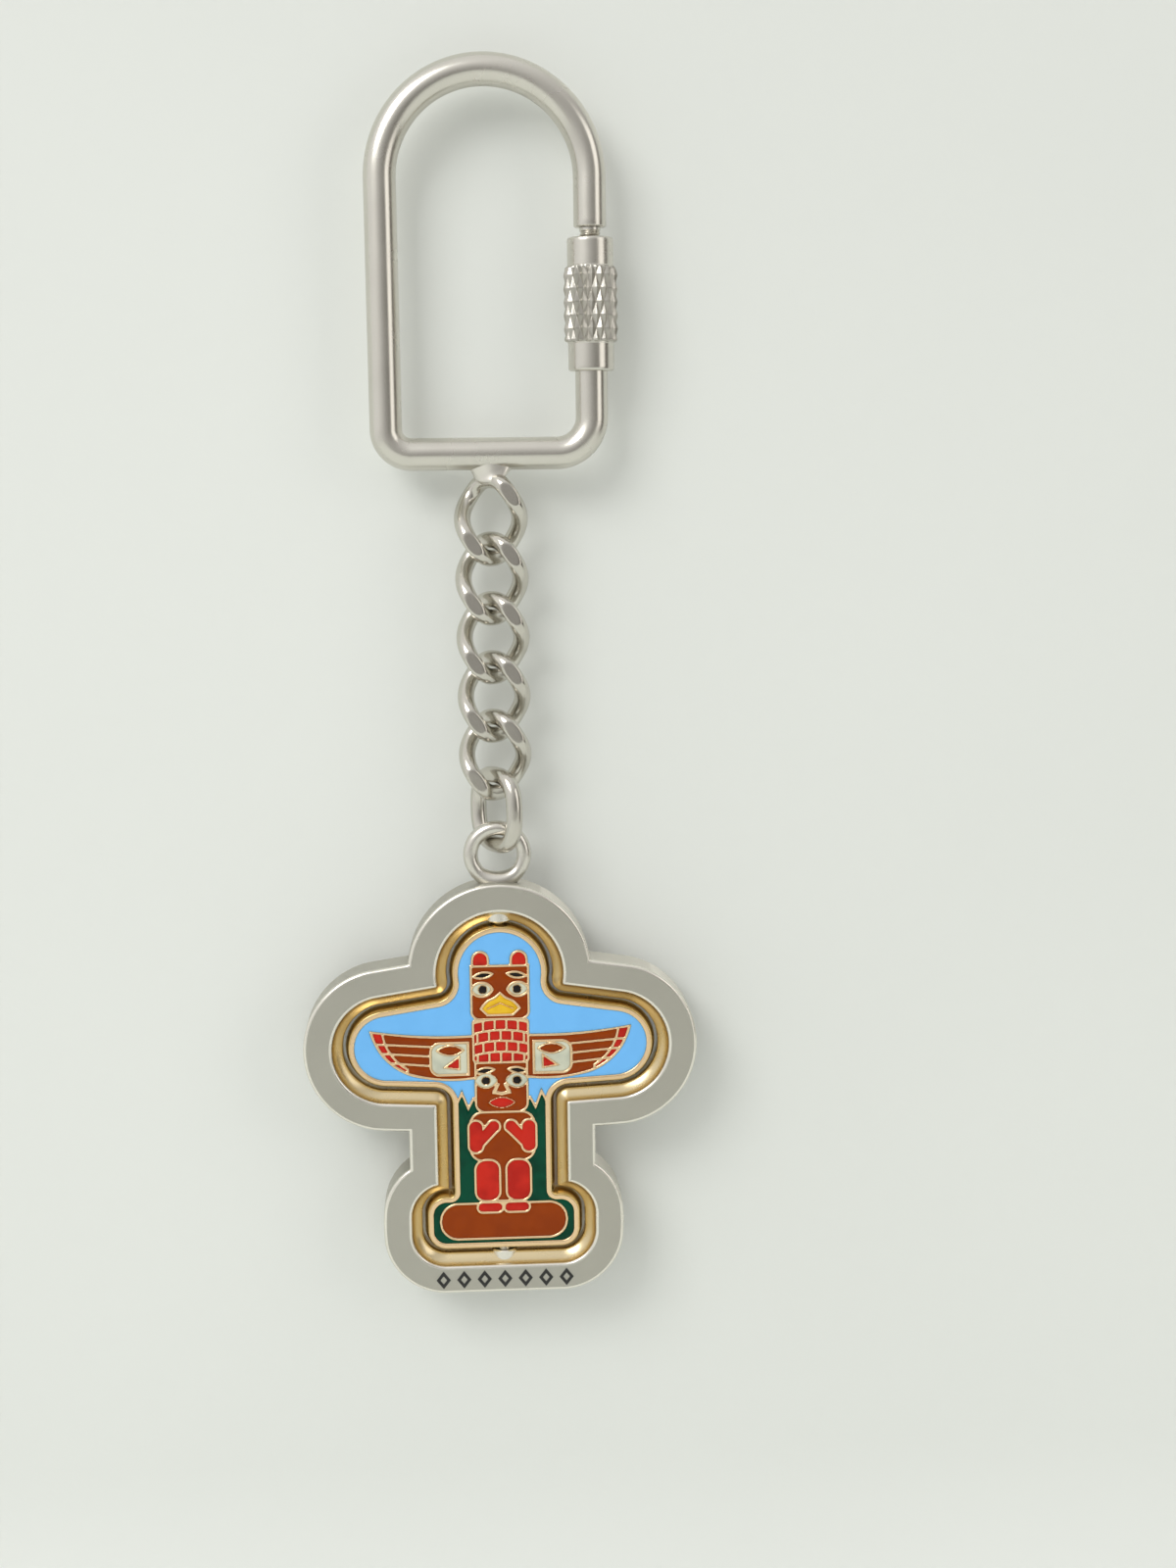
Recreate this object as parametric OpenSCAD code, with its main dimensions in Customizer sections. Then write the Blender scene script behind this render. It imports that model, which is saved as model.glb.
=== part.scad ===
// Souvenir keychain with a D ring, a screw lock sleeve, a curb chain and a
// spinning enamel medallion in a cast frame.
// Millimetres, +Z up. The chain and pendant lie in the XZ plane and the picture
// faces -Y. The origin is the inside top of the ring's arch, where it hangs.

/* [Ring] */
// Diameter of the ring's wire
wire_d = 3.0; // [2.6:0.1:3.4]
// Distance between the axes of the ring's two upright arms
ring_w = 19.1; // [17:0.1:22]
// Depth below the inside top of the arch of the bottom bar's axis
bar_depth = 32.85; // [31.6:0.05:36]
// Bend radius of the wire's axis at the plain lower corner
corner_r = 2.3; // [1.9:0.1:3.2]
// Bend radius of the wire's axis at the corner under the sleeve
sleeve_corner_r = 3.3; // [2.4:0.1:3.4]

/* [Lock sleeve] */
// Depth of the shoulder where the upper arm steps down to its stud
shoulder_depth = 12.5; // [11.8:0.1:13]
// Diameter of the threaded stud
stud_d = 1.95; // [1.7:0.05:2.2]
// Length of the stud
stud_len = 2.4; // [2:0.1:3]
// Length of the sleeve
sleeve_len = 12.0; // [11:0.1:13]
// Stud left in view above the closed sleeve
stud_show = 0.9; // [0.7:0.05:1.2]
// Outer diameter of the sleeve's plain collars
collar_d = 4.25; // [4.1:0.05:4.5]
// Outer diameter of the knurled grip
grip_d = 5.0; // [4.8:0.05:5.4]
// How far the sleeve runs down when it is open
sleeve_travel = 3.8; // [2.5:0.1:3.9]
// Radial play of the sleeve on the wire and on the stud
sleeve_play = 0.05; // [0.02:0.01:0.08]

/* [Chain] */
// Diameter of the wire of the links
link_wire = 1.55; // [1.4:0.05:1.7]
// Outer length of a curb link
link_len = 8.8; // [8.2:0.1:9.4]
// Outer width of a curb link before it is twisted
link_w = 6.9; // [6.4:0.1:7.4]
// Turn of each bow of a curb link out of the pendant's plane
link_twist = 45; // [40:1:50]
// Thickness left after both faces of a curb link are ground flat
link_ground = 3.7; // [3.5:0.1:4.2]
// Outer length of the plain jump link
jump_len = 8.3; // [7.8:0.1:8.8]
// Outer width of the plain jump link
jump_w = 7.4; // [7.2:0.1:7.8]
// Turn of the jump link out of the pendant's plane
jump_twist = 55; // [53:1:60]
// Gap between the wires of neighbouring links
link_gap = 0.15; // [0.1:0.01:0.25]

/* [Pendant frame] */
// Thickness of the cast frame
frame_t = 4.2; // [3.8:0.1:5]
// Width of the frame's rail
rail_w = 2.75; // [2.4:0.05:3.2]
// Outer diameter of the eye on top of the frame
eye_d = 6.5; // [6.4:0.1:7]
// Wire thickness of the eye
eye_wire = 1.4; // [1.2:0.05:1.45]
// Depth of the eye's foot in the frame
eye_sink = 0.7; // [0.4:0.05:0.9]

/* [Medallion] */
// Thickness of the medallion
medal_t = 2.8; // [2.6:0.1:3.2]
// Width of the raised metal border round the enamel
border_w = 0.55; // [0.45:0.05:0.7]
// Distance from the medallion's edge to the window's wall at the faces of the frame
spin_gap = 1.4; // [1.2:0.05:1.6]
// How far the rib inside the window stands out towards the medallion
rib_w = 0.9; // [0.5:0.05:1]
// Thickness of that rib
rib_t = 1.6; // [1.2:0.1:2]
// Diameter of the pivot pins
pin_d = 1.3; // [1.1:0.05:1.4]
// Radial play of the pins in the medallion
pin_play = 0.05; // [0.02:0.01:0.08]
// Depth of the cells that hold the enamel
cell_depth = 0.35; // [0.25:0.05:0.4]
// How far the enamel's surface lies under the raised lines
enamel_low = 0.06; // [0.02:0.01:0.12]
// Width of the raised lines between cells
line_w = 0.26; // [0.2:0.02:0.3]

/* [Outline] */
// Radius of the top lobe of the enamel's outline
lobe_r = 4.1; // [3.9:0.05:4.3]
// Height of the enamel's top above the wing axis
lobe_top = 10.8; // [10.4:0.1:11.2]
// Half span of the enamel across the wings
wing_span = 14.2; // [13.8:0.1:14.6]
// Half width of the neck under the wings
neck_w = 4.3; // [4.1:0.05:4.5]
// Half width of the foot of the outline
foot_w = 6.95; // [6.8:0.05:7.2]
// Depth of the foot's upper edge below the wing axis
foot_top = 16.0; // [15.8:0.1:16.2]
// Depth of the foot's lower edge below the wing axis
foot_low = 20.4; // [20.2:0.1:20.8]

/* [Hidden] */
$fn = 48;
outline_fn = 36;
picture_fn = 16;

NICKEL = [0.74, 0.72, 0.69];
CAST = [0.6, 0.59, 0.56];
GOLD = [0.8, 0.67, 0.38];
SKY = [0.43, 0.65, 0.9];
GREEN = [0, 0.27, 0.18];
BROWN = [0.55, 0.25, 0.1];
RED = [0.78, 0.16, 0.12];
YELLOW = [0.92, 0.74, 0.12];
WHITE = [0.85, 0.85, 0.78];
BLACK = [0.06, 0.05, 0.05];

wire_r = wire_d / 2;
arm_x = ring_w / 2;
arch_z = wire_r - arm_x;
bar_z = -bar_depth;

sleeve_top = -shoulder_depth - stud_show;
sleeve_low = sleeve_top - sleeve_len;
stud_end = -shoulder_depth - stud_len;
thread_len = 3.5;
thread_r = stud_d / 2 + sleeve_play;
sleeve_bore_r = wire_r + sleeve_play;
stub_end = sleeve_top - thread_len - sleeve_travel - 0.2;
collar_len = 2.6;
sleeve_chamfer = 0.25;
stud_chamfer = 0.2;

link_r = link_wire / 2;
ring_sides = 12;
link_rings = 48;
curb_power = 0.86;
jump_power = 0.75;
pitch = link_len - 2 * link_wire - link_gap;
braze_gap = 0.12;
link_1_top = bar_z - wire_r - braze_gap;
jump_top = link_1_top - 4 * pitch - link_len + 2 * link_wire + link_gap;
solder_bar_r = 1.9;
solder_link_r = 1.15;
solder_h = 1.15;
solder_deep = 2.3;
solder_lap = 0.35;

eye_r = eye_d / 2;
eye_section = eye_wire / 2;
eye_top = jump_top - jump_len + link_wire + link_gap + eye_wire;
eye_z = eye_top - eye_r;
window_off = border_w + spin_gap;
outer_off = window_off + rail_w;
wing_z = eye_z - eye_r + eye_sink - lobe_top - outer_off;

pin_r = pin_d / 2;
pin_bore_r = pin_r + pin_play;
pin_ledge = 0.7;
pin_sink = 1.7;
pin_grip = 1.2;
pin_end_gap = 0.15;
pin_shoulder_r = pin_r + pin_ledge;
pin_shoulder_gap = 0.25;
enamel_t = cell_depth - enamel_low;

tip_r = 3.3;
wing_root_r = 3.9;
wing_root_x = 5;
armpit_r = 2.2;
foot_fillet = 0.9;
foot_r = 1.4;

paint_t = 0.2;
paint_proud = 0.03;
paint_count = 7;
paint_pitch = 2.0;
paint_w = 1.4;
paint_h = 1.8;
paint_line = 0.3;

// ---- helpers ----

module both_sides() {
    children();
    mirror([1, 0]) children();
}

// Draws a flat XY outline in the XZ plane at the wing axis, from y = y0 to y = y0 + t.
module standing(y0, t) {
    translate([0, y0 + t, wing_z]) rotate([90, 0, 0]) linear_extrude(t) children();
}

module block(x0, x1, z0, z1) {
    translate([x0, z0]) square([x1 - x0, z1 - z0]);
}

module round_block(x0, x1, z0, z1, r) {
    offset(r) block(x0 + r, x1 - r, z0 + r, z1 - r);
}

module lens(w, h) {
    r = (w * w + h * h) / (4 * h);
    intersection() {
        translate([0, h / 2 - r]) circle(r);
        translate([0, r - h / 2]) circle(r);
    }
}

module stroke(a, b, w) {
    length = norm(b - a);
    translate(a) rotate(atan2(b[1] - a[1], b[0] - a[0])) translate([0, -w / 2]) square([length, w]);
}

// ---- ring ----

module arc_wire(centre, r, from, angle, thick) {
    translate([centre[0], 0, centre[1]]) rotate([90, 0, 0]) rotate(from)
        rotate_extrude(angle = angle) translate([r, 0]) circle(thick);
}

module upright(x, z0, z1, r) {
    translate([x, 0, z0]) cylinder(r = r, h = z1 - z0);
}

module ring_frame() {
    color(NICKEL) union() {
        arc_wire([0, arch_z], arm_x, 0, 180, wire_r);
        upright(-arm_x, bar_z + corner_r, arch_z, wire_r);
        arc_wire([corner_r - arm_x, bar_z + corner_r], corner_r, 180, 90, wire_r);
        translate([corner_r - arm_x, 0, bar_z]) rotate([0, 90, 0])
            cylinder(r = wire_r, h = ring_w - corner_r - sleeve_corner_r);
        arc_wire([arm_x - sleeve_corner_r, bar_z + sleeve_corner_r], sleeve_corner_r, 270, 90, wire_r);
        upright(arm_x, bar_z + sleeve_corner_r, stub_end, wire_r);
        upright(arm_x, -shoulder_depth, arch_z, wire_r);
        upright(arm_x, stud_end + stud_chamfer, -shoulder_depth, stud_d / 2);
        translate([arm_x, 0, stud_end])
            cylinder(r1 = stud_d / 2 - stud_chamfer, r2 = stud_d / 2, h = stud_chamfer);
    }
}

module lock_sleeve() {
    grip_low = sleeve_low + collar_len;
    grip_high = sleeve_top - collar_len;
    color(NICKEL) translate([arm_x, 0, 0]) rotate_extrude() polygon([
        [thread_r, sleeve_top], [thread_r, sleeve_top - thread_len],
        [sleeve_bore_r, sleeve_top - thread_len], [sleeve_bore_r, sleeve_low],
        [collar_d / 2 - sleeve_chamfer, sleeve_low], [collar_d / 2, sleeve_low + sleeve_chamfer],
        [collar_d / 2, grip_low], [grip_d / 2, grip_low + sleeve_chamfer],
        [grip_d / 2, grip_high - sleeve_chamfer], [collar_d / 2, grip_high],
        [collar_d / 2, sleeve_top - sleeve_chamfer], [collar_d / 2 - sleeve_chamfer, sleeve_top]
    ]);
}

// ---- chain ----

// A point of a link's centre line at angle t, before the twist. A power under 1 squares the oval.
function oval(t, w, h, power) = let (c = cos(t), s = sin(t))
    [w * sign(c) * pow(abs(c), power), h * sign(s) * pow(abs(s), power)];
function bow_turn(z, h, twist) = -twist * sin(90 * max(-1, min(1, z / h)));
function link_point(t, w, h, power, twist) = let (q = oval(t, w, h, power), a = bow_turn(q[1], h, twist))
    [q[0] * cos(a), q[0] * sin(a), q[1]];
function unit(v) = v / norm(v);

function link_ring(i, w, h, power, twist) = let (
        step = 360 / link_rings, t = i * step + step / 2,
        here = link_point(t, w, h, power, twist),
        along = unit(link_point(t + 1, w, h, power, twist) - link_point(t - 1, w, h, power, twist)),
        out = here - along * (here * along),
        side = unit(out), up = cross(along, side))
    [for (k = [0 : ring_sides - 1]) let (a = 360 * k / ring_sides)
        here + link_r * (side * cos(a) + up * sin(a))];

module link_wire_loop(length, width, power, twist) {
    w = width / 2 - link_r;
    h = length / 2 - link_r;
    points = [for (i = [0 : link_rings - 1]) each link_ring(i, w, h, power, twist)];
    faces = [for (i = [0 : link_rings - 1], k = [0 : ring_sides - 1])
        let (j = (i + 1) % link_rings, m = (k + 1) % ring_sides)
        [i * ring_sides + k, j * ring_sides + k, j * ring_sides + m, i * ring_sides + m]];
    polyhedron(points, [for (f = faces) each [[f[0], f[1], f[2]], [f[0], f[2], f[3]]]]);
}

module curb_link(top) {
    color(NICKEL) translate([0, 0, top - link_len / 2]) intersection() {
        link_wire_loop(link_len, link_w, curb_power, link_twist);
        cube([2 * link_w, link_ground, 2 * link_len], center = true);
    }
}

module jump_link() {
    color(NICKEL) translate([0, 0, jump_top - jump_len / 2]) rotate(-jump_twist)
        link_wire_loop(jump_len, jump_w, jump_power, 0);
}

// Braze between the bar and the first link: a flared pad with both of their shapes taken out.
module solder_joint() {
    color(NICKEL) difference() {
        translate([0, 0, bar_z - wire_r - solder_h + solder_lap]) intersection() {
            cylinder(r1 = solder_link_r, r2 = solder_bar_r, h = solder_h);
            cube([2 * solder_bar_r, solder_deep, 2 * solder_h], center = true);
        }
        translate([-2 * solder_bar_r, 0, bar_z]) rotate([0, 90, 0])
            cylinder(r = wire_r, h = 4 * solder_bar_r);
        translate([0, 0, link_1_top - link_len / 2])
            link_wire_loop(link_len, link_w, curb_power, link_twist);
    }
}

// ---- pendant outlines, from the wing axis ----

module wings_field() {
    hull() both_sides() {
        translate([wing_span - tip_r, -0.5]) circle(tip_r);
        translate([wing_root_x, -0.2]) circle(wing_root_r);
    }
}

module enamel_outline() {
    $fn = outline_fn;
    offset(-foot_fillet) offset(delta = foot_fillet) {
        offset(-armpit_r) offset(delta = armpit_r) {
            translate([0, lobe_top - lobe_r]) circle(lobe_r);
            wings_field();
            block(-neck_w, neck_w, -foot_top, 0);
        }
        round_block(-foot_w, foot_w, -foot_low, -foot_top, foot_r);
    }
}

module outline(grow) {
    offset(delta = grow) enamel_outline();
}

// ---- the picture: flat outlines in front-to-back order ----

head_w = 2.75;
head_low = 2.15;
head_high = 7.4;
chest_w = 2.65;
chest_low = -2.15;
face_w = 2.5;
face_low = -7.1;
body_w = 3.3;
body_low = -12.0;
leg_x = 1.5;
leg_w = 1.2;
leg_low = -16.1;
plinth_w = 6.15;
plinth_top = -16.3;
plinth_low = -19.9;
box_x0 = 3.15;
box_x1 = 6.8;
feather_tip_x = 12.45;
eye_x = 1.6;
row_r = 10;
scale_w = 1.12;
nose_line = 0.14;

module ear_shape() {
    translate([1.85, 8.05]) circle(0.75);
    block(1.1, 2.6, head_high - 0.2, 8.05);
}

module head_shape() {
    round_block(-head_w, head_w, head_low, head_high, 0.8);
    block(-head_w, head_w, 5, head_high);
}

module beak_shape() {
    polygon([[-1.85, 3.2], [-1.2, 3.95], [-0.5, 4.3], [0, 4.75], [0.5, 4.3], [1.2, 3.95], [1.85, 3.2],
        [1.2, 2.55], [-1.2, 2.55]]);
}

module upper_eye() {
    translate([eye_x + 0.15, 5.1]) lens(2.1, 1.4);
}

module lower_eye() {
    translate([eye_x - 0.1, -3.95]) lens(2.1, 1.35);
}

module brow(z) {
    translate([eye_x, z]) rotate(-8) lens(1.9, 0.55);
}

module pupils() {
    both_sides() {
        translate([eye_x + 0.05, 5.1]) circle(0.36);
        translate([eye_x - 0.1, -3.95]) circle(0.36);
    }
}

module chest_shape() {
    round_block(-chest_w, chest_w, chest_low, head_low, 0.4);
}

module face_shape() {
    round_block(-face_w, face_w, face_low, chest_low, 0.9);
    block(-face_w, face_w, -4, chest_low);
}

module mouth_shape() {
    translate([0, -6.15]) lens(2.3, 0.9);
}

module arm_shape() {
    offset(0.12) offset(-0.12) {
        round_block(body_w - 1.45, body_w, -11.2, -7.9, 0.7);
        translate([0.85, -8.55]) circle(0.65);
        polygon([[0.4, -8.95], [1.3, -8.1], [2.6, -9.7], [2.4, -11.1]]);
    }
}

module body_shape() {
    round_block(-body_w + 0.15, body_w - 0.15, body_low, face_low, 1.3);
    block(-leg_x, leg_x, leg_low, body_low + 1);
}

module leg_shape() {
    translate([leg_x, 0]) round_block(-leg_w, leg_w, leg_low, -11.9, 1.0);
}

module foot_shape() {
    translate([1.3, -16.75]) round_block(-1.25, 1.25, -0.5, 0.55, 0.5);
}

module plinth_shape() {
    round_block(-plinth_w, plinth_w, plinth_low, plinth_top, 1.75);
}

module wing_shape() {
    polygon([[2, 0.5], [8, 0.6], [feather_tip_x, 1.15], [12.1, 0.1], [11.4, -1.15], [10.4, -2.2],
        [9, -3.05], [7, -3.55], [2, -3.65]]);
}

module wing_tip_shape() {
    intersection() {
        wing_shape();
        difference() {
            block(9, 13, -4, 2);
            translate([6.5, 1.6]) circle(4.9, $fn = 40);
        }
    }
}

module box_shape() {
    round_block(box_x0, box_x1, -3.3, -0.1, 0.9);
    block(box_x0, box_x1 - 1.2, -3.3, -0.1);
}

module triangle_shape() {
    polygon([[4.05, -1.55], [4.05, -2.7], [5.35, -2.5]]);
}

module tree_shape() {
    polygon([[2, -6.4], [2.75, -5.7], [3.25, -6.7], [3.85, -5.1], [4.3, -6.1], [6, -5],
        [6, -15.5], [2, -15.5]]);
    block(-foot_w, foot_w, -foot_low, -15);
}

module feather_lines() {
    for (k = [0 : 2]) stroke([box_x1 - 0.2, -0.45 - 0.95 * k], [12.6 - 0.75 * k, 0 - 0.95 * k], line_w);
}

module box_mark() {
    translate([(box_x0 + box_x1) / 2 - 0.1, -0.85]) lens(2.5, 0.85);
}

module nose_lines() {
    both_sides() {
        stroke([0.35, -4.3], [0.75, -5.15], nose_line);
        stroke([0, -5.25], [0.8, -5.1], nose_line);
    }
}

module beak_lines() {
    both_sides() stroke([0, 3.75], [1.3, 3.15], nose_line);
}

// Rows of scales that arch over the chest.
function row_sag(x) = row_r - sqrt(row_r * row_r - x * x);

module scale_lines() {
    row = (head_low - chest_low) / 4;
    for (k = [1 : 4]) translate([0, chest_low + k * row - row_r]) difference() {
        circle(row_r + line_w / 2, $fn = 90);
        circle(row_r - line_w / 2, $fn = 90);
    }
    for (k = [0 : 4], i = [-3 : 3]) let (x = (i + 0.5 * (k % 2)) * scale_w)
        if (abs(x) < chest_w) translate([x, chest_low + k * row - row_sag(x)])
            block(-line_w / 2, line_w / 2, 0, row);
}

module carved_wings() {
    both_sides() wing_shape();
}

module figure_shape() {
    carved_wings();
    both_sides() ear_shape();
    head_shape();
    chest_shape();
    face_shape();
    body_shape();
    both_sides() arm_shape();
    both_sides() leg_shape();
    both_sides() foot_shape();
    plinth_shape();
}

// A cell is the part of an outline that is left inside the raised lines round it.
module cell() {
    offset(delta = -line_w / 2) difference() {
        children(0);
        if ($children > 1) children(1);
    }
}

module white_cells() {
    both_sides() {
        cell() upper_eye();
        lower_eye();
        cell() {
            box_shape();
            union() {
                triangle_shape();
                box_mark();
            }
        }
    }
}

module red_cells() {
    both_sides() {
        cell() {
            ear_shape();
            head_shape();
        }
        difference() {
            cell() wing_tip_shape();
            feather_lines();
        }
        offset(delta = -0.06) triangle_shape();
        cell() arm_shape();
        cell() leg_shape();
        cell() foot_shape();
    }
    mouth_shape();
    difference() {
        cell() chest_shape();
        scale_lines();
    }
}

module brown_cells() {
    cell() {
        head_shape();
        union() {
            beak_shape();
            both_sides() upper_eye();
            both_sides() brow(6.5);
        }
    }
    cell() {
        face_shape();
        union() {
            mouth_shape();
            nose_lines();
            both_sides() lower_eye();
            both_sides() brow(-2.95);
        }
    }
    both_sides() offset(delta = -0.06) box_mark();
    both_sides() difference() {
        cell() {
            wing_shape();
            union() {
                wing_tip_shape();
                box_shape();
                chest_shape();
                face_shape();
            }
        }
        feather_lines();
    }
    cell() {
        body_shape();
        union() {
            face_shape();
            both_sides() arm_shape();
            both_sides() leg_shape();
        }
    }
    cell() {
        plinth_shape();
        both_sides() foot_shape();
    }
}

module cells(colour) {
    $fn = picture_fn;
    if (colour == "sky") cell() {
        enamel_outline();
        union() {
            figure_shape();
            both_sides() tree_shape();
        }
    }
    if (colour == "green") cell() {
        intersection() {
            enamel_outline();
            both_sides() tree_shape();
        }
        figure_shape();
    }
    if (colour == "brown") brown_cells();
    if (colour == "red") red_cells();
    if (colour == "yellow") difference() {
        cell() beak_shape();
        beak_lines();
    }
    if (colour == "white") difference() {
        white_cells();
        offset(0.1) pupils();
    }
    if (colour == "black") {
        pupils();
        both_sides() {
            offset(delta = -0.1) brow(6.5);
            offset(delta = -0.1) brow(-2.95);
        }
    }
}

COLOURS = ["sky", "green", "brown", "red", "yellow", "white", "black"];

// ---- pendant ----

module on_back() {
    rotate(180) children();
}

module enamel(colour) {
    standing(-medal_t / 2 + enamel_low, enamel_t) cells(colour);
}

module cell_cutters() {
    for (colour = COLOURS) standing(-medal_t / 2 - 1, 1 + cell_depth) cells(colour);
}

module medallion() {
    pin_span_top = wing_z + lobe_top + border_w;
    pin_span_low = wing_z - foot_low - border_w;
    color(GOLD) difference() {
        standing(-medal_t / 2, medal_t) outline(border_w);
        cell_cutters();
        on_back() cell_cutters();
        translate([0, 0, pin_span_top - pin_grip - pin_end_gap]) cylinder(r = pin_bore_r, h = 3);
        translate([0, 0, pin_span_low + pin_grip + pin_end_gap - 3]) cylinder(r = pin_bore_r, h = 3);
    }
}

// A pivot pin from its head in the frame, at z = 0, into the medallion, up the Z axis.
module pivot_pin() {
    length = pin_sink + spin_gap + pin_grip;
    cylinder(r = pin_r, h = length);
    translate([0, 0, pin_sink]) cylinder(r = pin_shoulder_r, h = spin_gap - pin_shoulder_gap);
}

// The bore for a pin in the frame and the flat seat of its shoulder, cut through the rib.
module pin_seat() {
    translate([0, 0, -pin_sink]) cylinder(r = pin_r, h = pin_sink + spin_gap);
    cylinder(r = pin_shoulder_r, h = spin_gap);
}

module pin_bottom() {
    color(NICKEL) translate([0, 0, wing_z - foot_low - window_off - pin_sink]) pivot_pin();
}

module pin_top() {
    color(NICKEL) translate([0, 0, wing_z + lobe_top + window_off + pin_sink])
        rotate([180, 0, 0]) pivot_pin();
}

module lozenge(w, h) {
    polygon([[-w / 2, 0], [0, h / 2], [w / 2, 0], [0, -h / 2]]);
}

module paint_marks() {
    rail_mid = -foot_low - window_off - rail_w / 2;
    hollow = 1 - 2 * paint_line * norm([paint_w, paint_h]) / (paint_w * paint_h);
    for (i = [0 : paint_count - 1]) translate([(i - (paint_count - 1) / 2) * paint_pitch, rail_mid])
        difference() {
            lozenge(paint_w, paint_h);
            lozenge(paint_w * hollow, paint_h * hollow);
        }
}

module frame_paint() {
    color(BLACK) standing(-frame_t / 2 - paint_proud, paint_t + paint_proud) paint_marks();
}

module pendant_frame() {
    color(CAST) difference() {
        union() {
            standing(-frame_t / 2, frame_t) outline(outer_off);
            translate([0, 0, eye_z]) rotate([90, 0, 0]) rotate_extrude()
                translate([eye_r - eye_section, 0]) circle(eye_section);
        }
        standing(-frame_t, 2 * frame_t) outline(window_off - rib_w);
        standing(-frame_t, frame_t - rib_t / 2) outline(window_off);
        standing(rib_t / 2, frame_t) outline(window_off);
        standing(-frame_t, frame_t / 2 + paint_t) paint_marks();
        translate([0, 0, wing_z - foot_low - window_off]) pin_seat();
        translate([0, 0, wing_z + lobe_top + window_off]) mirror([0, 0, 1]) pin_seat();
    }
}

ring_frame();
lock_sleeve();
solder_joint();
curb_link(link_1_top);  // link_1
curb_link(link_1_top - pitch);  // link_2
curb_link(link_1_top - 2 * pitch);  // link_3
curb_link(link_1_top - 3 * pitch);  // link_4
curb_link(link_1_top - 4 * pitch);  // link_5
jump_link();  // link_6
pendant_frame();
frame_paint();
pin_top();
pin_bottom();
medallion();
color(SKY) enamel("sky");  // front_sky
color(GREEN) enamel("green");  // front_green
color(BROWN) enamel("brown");  // front_brown
color(RED) enamel("red");  // front_red
color(YELLOW) enamel("yellow");  // front_yellow
color(WHITE) enamel("white");  // front_white
color(BLACK) enamel("black");  // front_black
color(SKY) on_back() enamel("sky");  // back_sky
color(GREEN) on_back() enamel("green");  // back_green
color(BROWN) on_back() enamel("brown");  // back_brown
color(RED) on_back() enamel("red");  // back_red
color(YELLOW) on_back() enamel("yellow");  // back_yellow
color(WHITE) on_back() enamel("white");  // back_white
color(BLACK) on_back() enamel("black");  // back_black
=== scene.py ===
"""Keychain: D ring with a lock sleeve, curb chain and a spinning enamel medallion in a cast frame."""

import math

import bpy
import numpy as np
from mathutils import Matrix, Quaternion, Vector
from mathutils.geometry import tessellate_polygon


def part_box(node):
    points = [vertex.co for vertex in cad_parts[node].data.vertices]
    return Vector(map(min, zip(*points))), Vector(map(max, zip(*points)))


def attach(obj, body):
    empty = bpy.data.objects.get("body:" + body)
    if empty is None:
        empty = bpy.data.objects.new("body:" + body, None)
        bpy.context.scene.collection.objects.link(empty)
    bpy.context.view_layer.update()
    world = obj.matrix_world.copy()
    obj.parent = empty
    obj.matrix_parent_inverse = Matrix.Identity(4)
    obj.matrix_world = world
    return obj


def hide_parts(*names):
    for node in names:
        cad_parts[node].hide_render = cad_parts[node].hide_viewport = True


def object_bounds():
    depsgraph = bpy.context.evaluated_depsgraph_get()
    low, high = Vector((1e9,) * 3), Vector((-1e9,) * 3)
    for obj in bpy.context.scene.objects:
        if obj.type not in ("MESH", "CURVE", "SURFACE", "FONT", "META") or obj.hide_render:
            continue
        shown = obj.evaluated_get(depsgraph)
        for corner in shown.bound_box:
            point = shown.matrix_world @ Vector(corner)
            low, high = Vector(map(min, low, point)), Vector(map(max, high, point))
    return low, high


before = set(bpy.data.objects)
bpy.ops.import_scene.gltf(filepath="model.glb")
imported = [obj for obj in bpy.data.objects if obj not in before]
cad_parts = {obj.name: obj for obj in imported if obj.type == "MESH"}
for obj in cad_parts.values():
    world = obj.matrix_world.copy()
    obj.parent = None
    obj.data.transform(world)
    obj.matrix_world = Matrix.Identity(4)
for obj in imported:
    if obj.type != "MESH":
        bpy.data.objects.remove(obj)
cad_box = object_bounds()

MM = 0.001
MICRONS_PER_MM = 1000.0
TAU = 2 * math.pi
COLOURS = ("sky", "green", "brown", "red", "yellow", "white", "black")

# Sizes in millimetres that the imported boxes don't give.

# Outlines: how near a depth a CAD face counts as lying at it, and the steps they are drawn again in
LEVEL_GAP = 0.004
FRAME_STEP = 0.22
RIM_STEP = 0.2
CELL_STEP = 0.12

# Ring and its stud
WIRE_R = 1.5
RING_CORNER_R = 2.3
SLEEVE_CORNER_R = 3.3
WIRE_BEVEL = 0.15
STUB_Z = -20.9
SHOULDER_Z = -12.5
STUD_R = 0.975
STUD_LEN = 2.4
THREAD_PITCH = 0.4
THREAD_DEPTH = 0.13
THREAD_START = 0.25

# Sleeve
COLLAR_LEN = 2.6
COLLAR_R = 2.125
COLLAR_BEVEL = 0.22
GRIP_STEP = 0.05
SLEEVE_BORE_R = 1.55
SLEEVE_THREAD_R = 1.025
SLEEVE_THREAD_LEN = 3.5
KNURLS = 18
KNURL_TALL = 2.4
KNURL_DEPTH = 0.3
KNURL_CREST = 1.05
KNURL_FADE = 0.22

# Chain and braze. A power under 1 squares the oval.
LINK_R = 0.775
LINK_W = 6.9
LINK_TWIST = math.radians(45)
LINK_POWER = 0.86
JUMP_W = 7.4
JUMP_TWIST = math.radians(55)
JUMP_POWER = 0.75
BRAZE_HALF_W = 2.3
BRAZE_HALF_T = 1.12
BRAZE_LAP = 1.2

# Pendant frame, eye and pins
EDGE_R = 0.3
RIB_W = 0.9
RIB_T = 1.6
SLOPE_HOLLOW = 0.16
EYE_R = 3.25
EYE_SECTION = 0.7
PIN_SINK = 1.7
PIN_LEDGE = 0.7
PIN_GRIP = 1.2
PIN_PLAY = 0.25

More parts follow.
